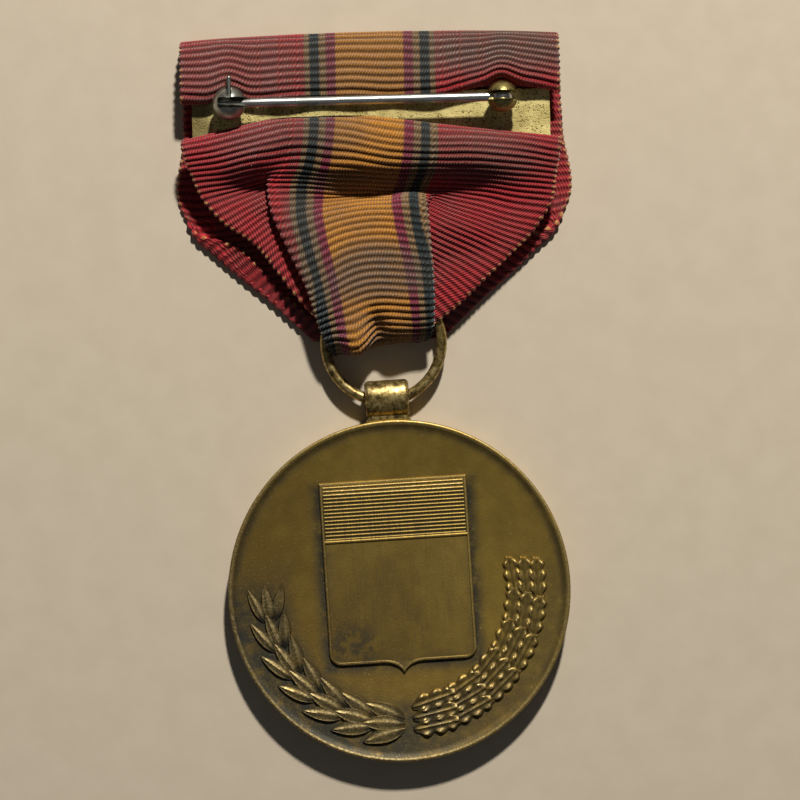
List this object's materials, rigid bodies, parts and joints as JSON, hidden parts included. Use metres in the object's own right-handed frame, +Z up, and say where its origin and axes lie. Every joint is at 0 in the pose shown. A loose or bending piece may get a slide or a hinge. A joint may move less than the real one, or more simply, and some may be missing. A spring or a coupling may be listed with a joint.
{
  "type": "military service medal",
  "caption": "Service medal lying face down: slotted brass pin-back bar, folded striped ribbon, ring, barrel loop and struck bronze disc with shield and half wreath.",
  "frame": {"origin": "centre of the object's outline on the table it lies on", "axes": "+Y towards the top edge of the bar, +Z up out of the table with the medal face down, +X to the right when looking at the back"},
  "size_m": [0.0348, 0.0672, 0.0057],
  "materials": {
    "bar_brass": "aged, lightly pitted",
    "nickel": "worn nickel plate",
    "bronze": "dark patinated bronze",
    "ribbon": "ribbed silk ribbon with woven stripes",
    "thread": "sewing thread"
  },
  "bodies": {
    "brooch": {"bar_plate": "bar_brass", "hinge_block": "bar_brass", "hinge_rivet": "bar_brass", "catch_ball": "nickel", "ribbon_wrap": "ribbon", "ribbon_tail": "ribbon", "end_stitches": "thread"},
    "pin": {"pin": "nickel"},
    "catch_rotor": {"catch_rotor": "nickel"},
    "drape": {"ribbon_drape": "ribbon"},
    "ring": {"ring": "bronze"},
    "pendant": {"barrel_loop": "bronze", "medal_disc": "bronze"}
  },
  "joints": [
    {"name": "pin_swing", "type": "hinge", "parent": "brooch", "child": "pin", "pos_m": [0.01216, 0.02773, 0.0043], "axis": [0, 1, 0], "range_deg": [0, 95]},
    {"name": "catch_turn", "type": "hinge", "parent": "brooch", "child": "catch_rotor", "pos_m": [-0.013, 0.02773, 0.0043], "axis": [1, 0, 0], "range_deg": [0, 100]},
    {"name": "ribbon_flex", "type": "hinge", "parent": "brooch", "child": "drape", "pos_m": [0, 0.01998, 0.0009], "axis": [-1, 0, 0], "range_deg": [-45, 20]},
    {"name": "ring_turn", "type": "hinge", "parent": "drape", "child": "ring", "pos_m": [0.0006, 0.00538, 0.00145], "axis": [0, 0, 1], "range_deg": [-35, 35]},
    {"name": "pendant_swing", "type": "hinge", "parent": "ring", "child": "pendant", "pos_m": [0.0008, 0.00018, 0.00145], "axis": [-0.9993, -0.0384, 0], "range_deg": [-110, 110]}
  ]
}
